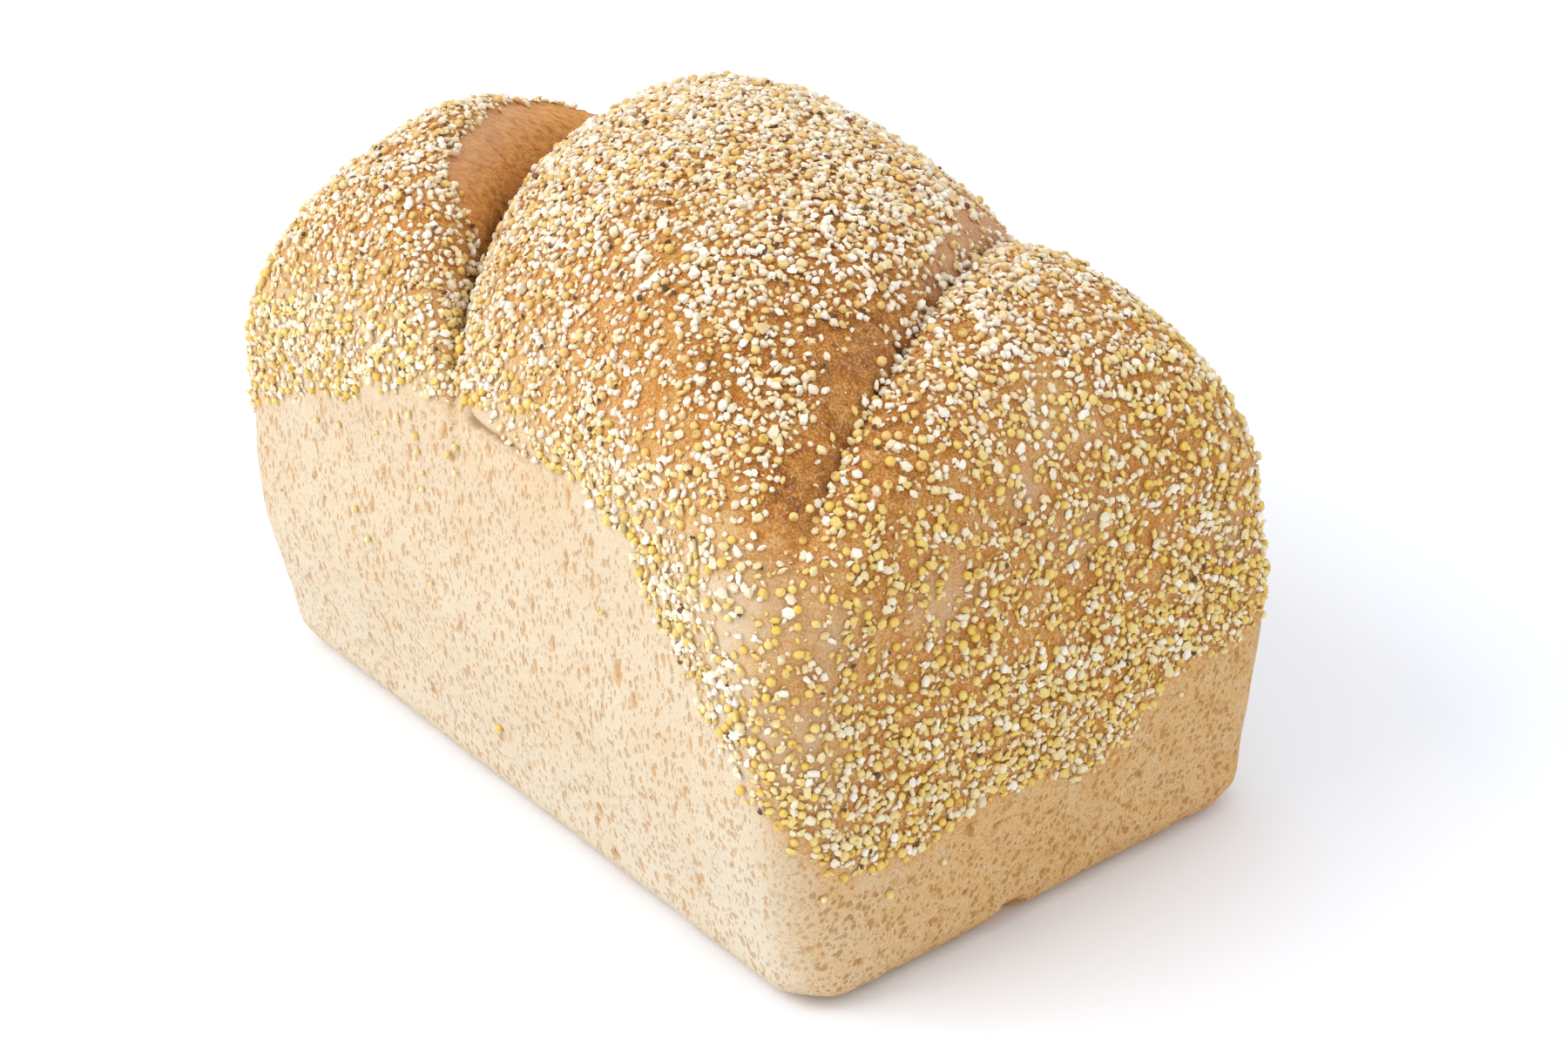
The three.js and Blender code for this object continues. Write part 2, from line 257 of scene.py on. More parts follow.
def from_side_middle(share):
    """The way in mm from the middle of the nearest long side, counter-clockwise."""
    return ((share % 0.5) - 0.25) * RIM_WAY


def tear(share):
    """1 where the dome tore away from the wall as it rose, under the middle lobe, running out to 0
    in a fine crack on one side."""
    along = from_side_middle(share)
    open_part = step(TEAR_FROM, TEAR_WIDE, along) * step(TEAR_NARROW + 8, TEAR_NARROW, along)
    crack = step(TEAR_FROM, TEAR_WIDE, along) * step(TEAR_TO + 6, TEAR_TO, along)
    return 0.7 * open_part + 0.3 * crack


def at_end(share):
    """1 on the loaf's ends and 0 on its long sides, changing round the corners."""
    side_half = RIM_HALF[0] - CORNER_RADIUS
    return step(side_half, side_half + 17, np.abs(from_side_middle(share)))

# %% [markdown]
# ## How brown the crust is
#
# The wall is cream on the long sides and tan on the ends, which took more heat. Over the coat's
# edge it is browner, most on the ends, partly as painted shade between the grains. Over the rim the
# crust turns golden brown, most on the crests and the stretched flanks. It is greyish where flour
# sticks. One function gives it for both crusts, so the colour runs over their border.

# %% Browning
# How brown the wall, the coat over it (partly painted shade between grains) and the dome are, and
# how much browner each is on the ends
WALL_TONE, COAT_TONE_AND_SHADE, DOME_TONE = 0.11, 0.16, 0.53
WALL_AT_ENDS, COAT_TONE_AND_SHADE_AT_ENDS, DOME_AT_ENDS = 0.19, 0.34, 0.02

# Places in mm and how far round them the crust is browner or paler than its height alone makes it
BROWNER_SPOTS = [
    ((74, -42, 95), 9), ((60, -38, 106), 9), ((40, -34, 115), 8), ((70, -26, 101), 7),
    ((33, 10, 120), 9), ((78, -20, 96), 8), ((50, -18, 115), 10), ((60, -14, 110), 9),
    ((70, -29, 102), 8),
]
PALER_SPOTS = [
    ((15, -48, 100), 17), ((-12, -44, 98), 12), ((92, -48, 8), 20), ((87, -45, 80), 9),
    ((45, -54, 86), 12), ((-45, -50, 98), 16), ((83, 10, 92), 9), ((60, 20, 104), 9),
]
FLOURY_SPOTS = [
    ((90, -22, 71), 6), ((90, -45, 72), 6), ((90, 9, 73), 5), ((83, -53, 78), 7),
    ((91, 45, 58), 5), ((-41, -55, 85), 10), ((76, -57, 70), 10), ((-65, -56, 80), 10),
    ((89, -52, 56), 8), ((88, -1, 84), 4), ((92, -48, 48), 5),
]


def spots(points, places):
    """The nearness to a list of spots: exp(-(distance / radius)^2), and the same half way round."""
    near = np.zeros(points.shape[:-1])
    for middle, radius in places:
        for turned in ((1, 1, 1), (-1, -1, 1)):
            distance = np.linalg.norm(points - np.multiply(middle, turned), axis=-1)
            near = np.maximum(near, np.exp(-((distance / radius) ** 2)))
    return near


def browning(points, share):
    """0 is cream, 0.3 tan, 0.55 golden brown and 1 the darkest. The wall's tone changes to the
    coat's over the coat's edge, and that to the dome's from 76 to 108 mm of height, or from 67 to
    96 mm on the ends. The wall is browner near the rim and at its foot. Slow noise moves it all."""
    z = points[..., 2]
    ends = at_end(share)
    wall = WALL_TONE + WALL_AT_ENDS * ends + 0.04 * step(55, 80, z) + 0.03 * step(8, 2, z)
    wall = wall - 0.04 * (1 - ends) * step(40, 15, z)
    # The coat's tone is partly painted shade between the grains, most on the ends.
    coat = COAT_TONE_AND_SHADE + COAT_TONE_AND_SHADE_AT_ENDS * ends
    dome = DOME_TONE + DOME_AT_ENDS * ends + 0.04 * step(95, 118, z)
    rising = step(76 - 9 * ends, 108 - 12 * ends, z)
    over_edge = step(-4, 9, z - coat_edge(share))
    tone = wall + over_edge * (coat - wall + (dome - coat) * rising)
    tone = tone * (1 - 0.3 * spots(points, PALER_SPOTS)) + 0.1 * spots(points, BROWNER_SPOTS)
    return tone + (0.02 + 0.04 * over_edge) * (noise(points, 15, 51) + noise(points, 5, 52))

# %% [markdown]
# ## From arrays to a mesh
#
# A grid of points becomes a closed mesh when its first and last rows are folded flat onto a line,
# so that each point meets its mirror point. Quads join neighbouring rows, and the columns run
# round. The arrays go into the mesh in one call each, which is far quicker than one face at a time.

# %% Closed grids and pieces
def folded_grid(rows, columns):
    """The quads of a closed grid: in the first and last row, column j and column -j are one."""
    column = np.arange(columns)
    index = np.arange(rows)[:, None] * columns + column
    index[[0, -1]] -= column - np.minimum(column, columns - column)
    low, high = index[:-1], index[1:]
    return np.stack([low, np.roll(low, -1, 1), np.roll(high, -1, 1), high], -1).reshape(-1, 4)


def into_scene(name, data):
    """A new object at the origin with this mesh, light or lens, linked into the scene."""
    made = bpy.data.objects.new(name, data)
    bpy.context.scene.collection.objects.link(made)
    return made


def piece(name, slot, points, faces, **numbers):
    """A piece of the loaf with its object at the origin. Points are in mm. Each further array is
    kept as an attribute, one number for each point."""
    used, index = np.unique(faces, return_inverse=True)
    faces = index.reshape(faces.shape)
    mesh = bpy.data.meshes.new(name)
    mesh.vertices.add(len(used))
    mesh.vertices.foreach_set("co", (points[used] * MM).astype(np.float32).ravel())
    mesh.loops.add(faces.size)
    mesh.loops.foreach_set("vertex_index", faces.astype(np.int32).ravel())
    mesh.polygons.add(len(faces))
    mesh.polygons.foreach_set("loop_start", np.arange(0, faces.size, faces.shape[1], dtype=np.int32))
    mesh.update(calc_edges=True)
    mesh.shade_smooth()
    for label, values in numbers.items():
        mesh.attributes.new(label, "FLOAT", "POINT")
        mesh.attributes[label].data.foreach_set("value", values.ravel()[used].astype(np.float32))
    made = into_scene(name, mesh)
    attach(made, "root")
    print(name, len(faces) * (faces.shape[1] - 2), "triangles")
    return made

# %% [markdown]
# ## The crust that the tin baked
#
# Against the tin's metal the crust stays thin, pale and flat. Gas bubbles that met the metal left
# open pores: on the long sides the rising dough dragged them into upright slits, and on the ends
# they are rounder and closer. The pores that are wide enough to see into are cut into the surface
# here, and the material adds the finest. The lower edge of the near end is chipped.

# %% Its rows, from under the loaf up to the coat's edge
TIN_COLUMNS = 940
TIN_ROWS = 92
CLOSER_UP = 1.3    # above 1, the rows lie closer near the coat's edge, for the tear
HIDDEN_INSIDE = 55

share = np.arange(TIN_COLUMNS) / TIN_COLUMNS
edge = coat_edge(share)
# Rows under the loaf and round its base edge, up the wall, and three hidden under the dome's skin
under_rows = np.concatenate([[-1, -0.6, -0.25], np.linspace(0, 1, 9)[:-1]])
climb = 1 - (1 - np.linspace(0, 1, TIN_ROWS)) ** CLOSER_UP
tin_heights = BASE_RADIUS + (edge - BASE_RADIUS) * climb[:, None]
tin_levels = np.vstack([
    under_rows[:, None] + 0 * share,
    level_at(share, tin_heights),
    level_at(share, edge + 0.8),
    level_at(share, edge + 1.6),
    3 + 0 * share,
])
tin = crust_point(share, tin_levels)
tin_normal = np.vstack([outward(tin[:-1]), 0 * tin[-1:]])

# %% Its pores
# Their depth, then the cell, the half width and the half height in mm, the share of cells that
# hold a pit, and a seed
SLIT_PITS = [
    (0.6, (4.6, 5.2), (0.4, 0.6), (0.6, 1.3), 0.5, 22),
    (0.9, (11.0, 12.0), (0.5, 0.8), (1.0, 2.2), 0.5, 23),
    (1.1, (47.0, 31.0), (0.8, 1.2), (2.5, 4.2), 0.45, 28),
]
ROUND_PITS = [
    (0.5, (3.6, 3.6), (0.45, 0.75), (0.5, 0.8), 0.5, 25),
    (0.8, (8.5, 8.0), (0.7, 1.1), (0.7, 1.1), 0.5, 26),
]
PORE_DEPTH = 0.8

way = share * RIM_WAY + 0 * tin_levels
height = tin[..., 2]
below = edge - height
wall = step(2, 7, height)
slits, round_pores = (
    np.maximum.reduce([depth * pits(way, height, *form) for depth, *form in forms])
    for forms in (SLIT_PITS, ROUND_PITS)
)
pore = slits + (round_pores - slits) * at_end(share)
pore = pore * wall * step(-1, 2, below)

# %% Its torn lip under the middle lobe, and its uneven foot
# How far under the coat's edge the lip is, how far it stands out, and the depth of the gap, in mm
LIP_AT, LIP_OUT, GAP_DEPTH = 0.7, 0.5, 0.6
HIDDEN_ROWS_SUNK = (0.5, 1.6, 0)

lip_at = LIP_AT + 0.6 * noise(tin, 3, 5) + 0.4 * noise(tin, 1.2, 8)
gap = step(lip_at + 0.1, lip_at - 0.4, below)
lip = LIP_OUT * np.exp(-(((below - lip_at - 0.3) / 0.6) ** 2)) - GAP_DEPTH * gap
frayed_foot = -0.5 * np.abs(noise(tin, 5, 4)) * step(9, 3, height) * step(-0.2, 0.3, tin_levels)
sunk = np.zeros((len(tin_levels), 1))
sunk[-3:, 0] = HIDDEN_ROWS_SUNK
tin_relief = wall * swell(tin) - PORE_DEPTH * pore + frayed_foot + tear(share) * lip - sunk
tin = tin + tin_normal * tin_relief[..., None]
tin[: (under_rows <= 0).sum(), :, 2] = 0
tin[-1, :, 2] = HIDDEN_INSIDE

# %% Its chip, scooped out by an ellipsoid
CHIP_AT = np.array([89.5, -8, 1.5])
CHIP_HALF = np.array([4.5, 4.3, 3.6])
off = (tin - CHIP_AT) / CHIP_HALF
inside = 1 - off[..., 1] ** 2 - off[..., 2] ** 2
chip_wall = CHIP_AT[0] - CHIP_HALF[0] * np.sqrt(np.maximum(inside, 0)) + 0.4 * noise(tin, 1.5, 6)
chipped = (inside > 0) & (tin[..., 0] > chip_wall)
tin[..., 0] = np.where(chipped, chip_wall, tin[..., 0])

# The chip and the pores carry the pore mask, which the material tints with tan and painted shade.
tin_crust = piece(
    "tin_crust", "crust", tin.reshape(-1, 3), folded_grid(*tin_levels.shape),
    brown=browning(tin, share), pore=np.maximum(pore, chipped * 0.5),
    ends=at_end(share) + 0 * height, tin_baked=step(-1, 3, below),
    # The gap of the tear is darkened as painted shade.
    flour=spots(tin, FLOURY_SPOTS), dark=0.7 * tear(share) * gap,
)

# %% [markdown]
# ## The crust of the dome
#
# Over the rim the skin dried in the oven and browned. It is drawn smooth on the flanks beside the
# clefts, where it stretched last and holds little grain, and one such flank shows as a bare patch
# with the torn edge of the older skin round it. The clefts are pinched and hold a few holes, and
# painted shade darkens the holes, the clefts' creases and the gap of the tear.

# %% Its rows, from the coat's edge to the ridge
DOME_COLUMNS = 640
DOME_ROWS = 150
CLOSER_DOWN = 1.12    # above 1, the rows lie closer near the coat's edge

share = np.arange(DOME_COLUMNS) / DOME_COLUMNS
edge = coat_edge(share)
first = level_at(share, edge)
climb = np.linspace(0, 1, DOME_ROWS) ** CLOSER_DOWN
# Three rows hidden under the wall's crust, and the rows up to the ridge
dome_levels = np.vstack([
    3 + 0 * share,
    level_at(share, edge - 1.8),
    level_at(share, edge - 0.7),
    first + (3 - first) * climb[:, None],
])
dome = crust_point(share, dome_levels)
dome_normal = np.vstack([0 * dome[:1], outward(dome[1:])])

# %% The bare flanks
# Widths in mm from the cleft, and how much wider the second strip gets on the near and the far side
BARE_1 = {"width": 12.0, "from_y": -31}
BARE_2 = {"width": 3.6, "near": 4.0, "narrow_from_y": 14, "wide_to_y": -24, "far": 2.4, "to_z": 84}


def bare_flanks(points):
    """How bare the skin is, from 0 to 1: a strip of lobe 1 beside cleft A, and one of lobe 2 beside
    cleft B that is widest towards the near long side. The strips' edges are ragged."""
    x, y, z = np.moveaxis(points, -1, 0)
    ragged = noise(points, 5, 31) + 0.5 * noise(points, 1.8, 32)
    to_a = cleft_x(CLEFT_A, y) - x
    to_b = cleft_x(CLEFT_B, y) - x
    near_a = step(-1.5, -0.5, to_a) * step(0.5, -0.5, to_a - BARE_1["width"] - 1.2 * ragged)
    near_a = near_a * step(BARE_1["from_y"] - 1, BARE_1["from_y"] + 1, y + ragged)
    wide = BARE_2["width"] + BARE_2["near"] * step(BARE_2["narrow_from_y"], BARE_2["wide_to_y"], y)
    wide = wide + BARE_2["far"] * step(8, 30, y)
    near_b = step(-0.6, 0.4, to_b) * step(1.2, -1.2, to_b - wide - 1.8 * ragged)
    near_b = near_b * step(BARE_2["to_z"] - 3, BARE_2["to_z"] + 5, z)
    return near_a * step(76, 80, z), near_b


bare_1, bare_2 = bare_flanks(dome)
at_patch_edge = 4 * bare_1 * (1 - bare_1)

# %% Its swells, wrinkles and holes
# Holes in cleft B: how far along y, how deep and how wide
HOLES = [(24.4, 3, 1.5), (11, 3.2, 1.7), (3, 2, 1.2), (-8.4, 3, 1.5), (-16.5, 1.5, 1.4)]

x, y, z = np.moveaxis(dome, -1, 0)
from_edge = step(0, 5, z - edge)
wrinkle = 0.15 * noise(dome, 3.0, 43) + 0.13 * noise(dome, 1.4, 44)
to_floor = np.minimum(np.abs(x - cleft_x(CLEFT_A, y)), np.abs(x - cleft_x(CLEFT_B, y)))
in_cleft = np.exp(-((to_floor / 3) ** 2)) * step(72, 84, z)
pinched = in_cleft * (0.6 * noise(dome, 2.6, 45) + 0.45 * noise(dome, 1.3, 46))
hole = np.zeros(x.shape)
for along_y, deep, wide in HOLES:
    distance = np.hypot(x - cleft_x(CLEFT_B, along_y), y - along_y) / wide
    hole = np.maximum(hole, deep * np.clip(1 - distance**2, 0, 1))

dome_relief = swell(dome) + from_edge * (wrinkle * (1 - 0.6 * bare_1) + pinched) - hole
# The bare patch lies half a millimetre lower, under the curled edge of the older skin
dome_relief = dome_relief + 0.5 * (at_patch_edge * step(-60, -40, x) - bare_1)
dome_relief = dome_relief - 0.45 * tear(share) * np.exp(-(((z - edge) / 0.6) ** 2))
sunk = np.zeros((len(dome_levels), 1))
sunk[:3, 0] = 0, 1.4, 0.4
dome = dome + dome_normal * (dome_relief - sunk)[..., None]
dome[0, :, 2] = HIDDEN_INSIDE - 15

# %% Its browning, the painted shade of its clefts, holes and tear, and its pinkish and floury places
# Painted shade: the clefts' narrow crease, the holes and the strip under the dome's edge over the tear
# are darkened, and the clefts are a little browner.
crease_shade = np.exp(-((to_floor / 1.1) ** 2)) * step(-48, -30, y) * step(76, 86, z)
torn_skin = tear(share) * np.exp(-(((z - edge - 1.5) / 1.8) ** 2))
rosy = bare_2 * step(-6, 16, y) + bare_1 * step(104, 115, z)
brown = browning(dome, share) + 0.06 * np.maximum(bare_1, bare_2) + 0.03 * in_cleft
dome_crust = piece(
    "dome_crust", "crust", dome.reshape(-1, 3), folded_grid(*dome_levels.shape),
    brown=brown, patch=bare_1, patch_edge=at_patch_edge, rosy=rosy,
    flour=np.maximum(spots(dome, FLOURY_SPOTS), 0.3 * torn_skin), ends=at_end(share) + 0 * z,
    dark=np.clip(hole / 2.5 + 0.6 * crease_shade + 0.4 * tear(share) * step(0.6, 0, z - edge), 0, 1),
)
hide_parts("loaf")
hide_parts("loaf")

# %% [markdown]
# ## Grain, one shape at a time
#
# Whole husked millet is a ball about 2 mm across with a small dark spot where it sat on its stalk.
# Cracked grain is what a mill leaves of such balls and of corn: angular crumbs with flat broken
# faces. Each shape is a ball with 20 to 48 faces, because it is repeated thousands of times. A
# cracked one is a ball whose points are drawn in to the nearest of a few flat planes.

# %% A ball
def ball(around, high):
    """A closed ball of radius 1 as points and triangles: rings of sin and cos between two poles."""
    fall = np.arange(1, high)[:, None] * np.pi / high
    turn = np.arange(around) * 2 * np.pi / around
    level = np.cos(fall) + 0 * turn
    rings = np.stack([np.sin(fall) * np.cos(turn), np.sin(fall) * np.sin(turn), level], -1)
    points = np.vstack([[0, 0, 1], rings.reshape(-1, 3), [0, 0, -1]])
    here = 1 + np.arange((high - 1) * around).reshape(high - 1, around)
    beside = np.roll(here, -1, 1)
    pole = np.zeros(around, int)
    top = np.stack([pole, here[0], beside[0]], -1)
    foot = np.stack([pole + len(points) - 1, beside[-1], here[-1]], -1)
    one = np.stack([here[:-1], here[1:], beside[1:]], -1).reshape(-1, 3)
    two = np.stack([here[:-1], beside[1:], beside[:-1]], -1).reshape(-1, 3)
    return points, np.vstack([top, one, two, foot])


millet_ball, millet_faces = ball(8, 4)
grit_ball, grit_faces = ball(6, 4)
crumb_ball, crumb_faces = ball(5, 3)
print("faces of millet, grit and crumb:", len(millet_faces), len(grit_faces), len(crumb_faces))

# %% Whole and cracked shapes
GRIT_STRETCH = (1.3, 0.95, 0.8)


def turned_any_way(count, random):
    """Random rotations: two columns of random numbers made square to each other, and their cross."""
    a, b = random.normal(size=(2, count, 3))
    a /= np.linalg.norm(a, axis=-1, keepdims=True)
    b -= a * (a * b).sum(-1, keepdims=True)
    b /= np.linalg.norm(b, axis=-1, keepdims=True)
    return np.stack([a, b, np.cross(a, b)], -1)


def cracked(points, random, planes=6):
    """The ball's points drawn in to the nearest plane: each is scaled by the smallest of
    distance / (facing . point), then stretched, and brought to a largest radius of 1."""
    facing = turned_any_way(planes, random)[:, :, 0]
    facing[1::2] = -facing[::2]
    facing = facing + random.normal(0, 0.3, facing.shape)
    facing /= np.linalg.norm(facing, axis=-1, keepdims=True)
    reach = random.uniform(0.4, 0.85, planes) / np.maximum(points @ facing.T, 0.05)
    points = points * np.minimum(reach.min(axis=1), 1)[:, None]
    points = points * GRIT_STRETCH * random.uniform(0.8, 1.2, 3)
    return points / np.linalg.norm(points, axis=-1).max()


shapes_random = np.random.default_rng(61)
any_way = turned_any_way(24, shapes_random)
millet_shapes = np.einsum("kij,pj->kpi", any_way, millet_ball * (1, 1, 0.9))
grit_shapes = np.stack([cracked(grit_ball, shapes_random) for _ in range(60)])
crumb_shapes = np.stack([cracked(crumb_ball, shapes_random) for _ in range(12)])
flake_shapes = grit_shapes[:10] * (1, 1, 0.16) + 0.12 * grit_shapes[:10, :, :1] ** 2 * (0, 0, 1)

# %% [markdown]
# ## Where the grain lies
#
# The coat isn't even: it is thick on the crests and in a band over its lower edge, thin where the
# dough swelled most, and clumped everywhere. So the number of grains for each square centimetre is
# a function of the place. Places are drawn on the finished surface in proportion to it, and a place
# is dropped when a larger grain already lies there.

# %% How thick the coat is
DENSEST = 1.45    # grains drawn for each square millimetre
BARENESS_2 = 0.74    # how far the second strip is free of grain

# Places in mm and how far round them the coat is thinner or thicker
THIN_SPOTS = [
    ((14, -46, 104), 17), ((50, -45, 98), 9), ((89, -19, 77), 7), ((89, -46, 75), 7),
    ((90, -26, 70), 6), ((83, -53, 78), 8), ((87, -1, 84), 6), ((82, -25, 92), 8),
    ((78, -57, 74), 9), ((60, -28, 108), 6), ((88, -52, 56), 8), ((54, -14, 114), 7),
    ((63, -20, 108), 6),
]
THICK_SPOTS = [
    ((3, -35, 112), 9), ((68, -36, 102), 8), ((76, -41, 93), 6), ((12, 9, 122), 24),
    ((32, 12, 119), 14), ((40, 27, 111), 12), ((-54, -38, 110), 14), ((-5, -17, 120), 10),
    ((60, 25, 105), 12), ((-75, -10, 112), 20), ((-6, -55, 86), 8), ((-14, -54, 90), 8),
]


def grain_cover(points, share, bare):
    """The part of the densest coat that lies here, from 0 to 1: middling, more on the crests and
    over the edge, most of all at the ends, times noise for the clumps. The coat ends in a ragged
    fringe, and some grains fell into the second cleft."""
    x, y, z = np.moveaxis(points, -1, 0)
    over_edge = z - coat_edge(share) + 2.6 * noise(points, 7, 71) + 1.4 * noise(points, 2.2, 72)
    ends = at_end(share)
    cover = 0.5 + 0.22 * step(104, 120, z) - 0.04 * ends * step(92, 75, z)
    cover = cover + (0.26 + 0.28 * ends) * np.exp(-(((over_edge - 9) / 14) ** 2))
    over_edge = over_edge - 1.8 * tear(share)
    cover = cover + 0.35 * spots(points, THICK_SPOTS) - 0.3 * spots(points, THIN_SPOTS)
    cover = cover * (1 + 0.4 * noise(points, 8, 73) + 0.55 * noise(points, 3.5, 74))
    crease = np.exp(-(((x - cleft_x(CLEFT_B, y)) / 1.2) ** 2)) * step(-45, -30, y) * step(86, 92, z)
    fringe = step(-1, 3.2 - 1.2 * ends, over_edge)
    return np.clip(cover, 0.05, 1) * fringe * (1 - bare) ** 2 + 0.25 * crease


cover = grain_cover(dome, share, np.maximum(bare_1, BARENESS_2 * bare_2))
cover[:3] = 0

# %% Drawing places
def draw_places(points, normals, weight, random, count=None):
    """Random places on a grid, and the normals there. A quad is drawn by area times weight, from
    the running sum over all quads, and the place in it lies between its four corners. Without a
    count, the sum itself is the count."""
    near, beside, over, across = (
        grid.reshape(-1, 3) for grid in
        (points[:-1], np.roll(points, -1, 1)[:-1], points[1:], np.roll(points, -1, 1)[1:])
    )
    area = np.linalg.norm(np.cross(beside - near, over - near), axis=-1)
    running = np.cumsum(area * (weight[:-1] + weight[1:]).ravel() / 2)
    count = count or int(running[-1])
    drawn = np.searchsorted(running, random.random(count) * running[-1])
    aside, up = random.random((2, count, 1))
    low = near[drawn] * (1 - aside) + beside[drawn] * aside
    high = over[drawn] * (1 - aside) + across[drawn] * aside
    return low * (1 - up) + high * up, normals[:-1].reshape(-1, 3)[drawn]


def without_overlaps(places, reach):
    """Which grains stay: from the first to the last, each drops the later ones that are nearer than
    the sum of both reaches."""
    tree = KDTree(len(places))
    for number, place in enumerate(places):
        tree.insert(place, number)
    tree.balance()
    stays = np.ones(len(places), bool)
    for number, place in enumerate(places):
        if stays[number]:
            for _, other, distance in tree.find_range(place, reach[number] + reach.max()):
                if other > number and distance < reach[number] + reach[other]:
                    stays[other] = False
    return stays


random = np.random.default_rng(81)
dome_skin = outward(dome)
places, normals = draw_places(dome, dome_skin, cover * DENSEST, random)
print(len(places), "places drawn")

# %% [markdown]
# ## Sorting the grain
#
# Whole millet lies more often low on the walls, where it is also brighter yellow, since the oven's
# heat toasted the crests. Cracked grain is mostly white to cream, and yellower low on the ends.
# Each grain gets a size, a tint and how toasted it is, and the larger ones are placed first.

# %% Kinds, sizes and tints
WHOLE_RADIUS = (0.75, 1.08)
CRACKED_RADIUS = (0.45, 1.35)
WHOLE_REACH, CRACKED_REACH = 0.85, 0.46    # how near two grains may lie, as shares of their radii
WHOLE_SHARE, WHOLE_SHARE_MORE_LOW = 0.09, 0.06

low = step(106, 84, places[:, 2])
whole = random.random(len(places)) < WHOLE_SHARE + WHOLE_SHARE_MORE_LOW * low
smallest = np.where(whole, WHOLE_RADIUS[0], CRACKED_RADIUS[0])
largest = np.where(whole, WHOLE_RADIUS[1], CRACKED_RADIUS[1])
radius = smallest + (largest - smallest) * random.beta(1.7, 2.3, len(places))
order = np.argsort(-radius + random.normal(0, 0.15, len(places)))
places, normals, low, whole, radius = (a[order] for a in (places, normals, low, whole, radius))
stays = without_overlaps(places, radius * np.where(whole, WHOLE_REACH, CRACKED_REACH))
places, normals, low, whole, radius = (a[stays] for a in (places, normals, low, whole, radius))
print(whole.sum(), "whole grains and", (~whole).sum(), "cracked ones stay")

# %% Laying shapes on the crust
def standing_on(normals, spin):
    """Rotations that turn +Z to the normal after a spin about it."""
    helper = np.where(np.abs(normals[:, 2:]) < 0.9, (0, 0, 1.0), (1.0, 0, 0))
    side = np.cross(helper, normals)
    side /= np.linalg.norm(side, axis=-1, keepdims=True)
    front = np.cross(normals, side)
    cos, sin = np.cos(spin)[:, None], np.sin(spin)[:, None]
    return np.stack([side * cos + front * sin, front * cos - side * sin, normals], -1)


def lay(name, slot, shapes, faces, places, normals, radius, lift, random, **numbers):
    """One mesh with a copy of a random shape at each place: turned to stand on the crust, sized by
    its radius, and lifted by a share of it. Each further array has one number for each copy. The
    foot is 1 at the crust and 0 from about a radius over it."""
    shape = shapes[random.integers(0, len(shapes), len(places))]
    turn = standing_on(normals, random.uniform(0, 2 * np.pi, len(places)))
    middle = places + normals * (radius * lift)[:, None]
    points = middle[:, None] + np.einsum("nij,npj->npi", turn, shape * radius[:, None, None])
    count = shape.shape[1]
    every = (faces + np.arange(len(places))[:, None, None] * count).reshape(-1, 3)
    numbers = {label: np.repeat(values, count) for label, values in numbers.items()}
    numbers["spot"] = np.tile(np.arange(count) == 0, len(places))
    # The foot is where the grain's finish paints warm reflection from the crust and shade.
    numbers["foot"] = np.clip(0.8 - 1.1 * (shape[:, :, 2] + lift[:, None]), 0, 1)
    return piece(name, slot, points.reshape(-1, 3), every, **numbers)


# Cracked grain is sorted by a random number, which is higher low on the walls
GRIT_HUES = {
    "white_grits": (0, 0.36), "ivory_grits": (0.36, 0.62),
    "cream_grits": (0.62, 0.88), "yellow_grits": (0.88, 2),
}

lift = np.clip(random.normal(0.38, 0.2, len(places)), 0.05, 0.9)
tint = random.random(len(places))
toast = np.clip(0.8 - 0.75 * low + random.normal(0, 0.18, len(places)), 0, 1)
low_at_end = low * step(76, 88, np.abs(places[:, 0]))
tint = np.clip(tint + 0.3 * low_at_end, 0, 1)
hue = random.random(len(places)) + 0.06 * low + 0.2 * low_at_end
kinds = {"whole_millet": (whole, "whole_grain", millet_shapes, millet_faces)}
for name, (least, most) in GRIT_HUES.items():
    of_hue = ~whole & (hue >= least) & (hue < most)
    kinds[name] = (of_hue, "cracked_grain", grit_shapes, grit_faces)
grain = {
    name: lay(
        name, slot, shapes, faces, places[kind], normals[kind], radius[kind], lift[kind], random,
        tint=tint[kind], toast=toast[kind],
    )
    for name, (kind, slot, shapes, faces) in kinds.items()
}

# %% [markdown]
# ## The odd ones
#
# A few dark weed seeds, pale flakes of bran and a dust of finer crumbs lie between the grains, and
# a few pale cracked grains strayed down onto the bare wall. They are rare, but they keep the coat
# from looking made of three things only.

# %% Dark seeds, bran flakes and crumbs
def few(name, slot, shapes, faces, count, weight, sizes, lift):
    """A rare kind: `count` copies drawn by a weight, each of a random radius between the sizes."""
    at, facing = draw_places(dome, dome_skin, weight, random, count)
    size = random.uniform(*sizes, count)
    tint, toast = random.random((2, count))
    return lay(
        name, slot, shapes, faces, at, facing, size, lift + 0 * size, random, tint=tint, toast=toast,
    )


on_crests = cover * step(90, 115, dome[..., 2])
grain["dark_seeds"] = few(
    "dark_seeds", "whole_grain", crumb_shapes, crumb_faces,
    count=360, weight=cover + 2 * on_crests, sizes=(0.4, 0.8), lift=1.0,
)
grain["bran_flakes"] = few(
    "bran_flakes", "cracked_grain", flake_shapes, grit_faces,
    count=16, weight=cover, sizes=(1.0, 1.7), lift=0.7,
)
grain["grain_crumbs"] = few(
    "grain_crumbs", "cracked_grain", crumb_shapes, crumb_faces,
    count=7000, weight=(cover + 0.05) * (1 - bare_1), sizes=(0.2, 0.5), lift=0.4,
)

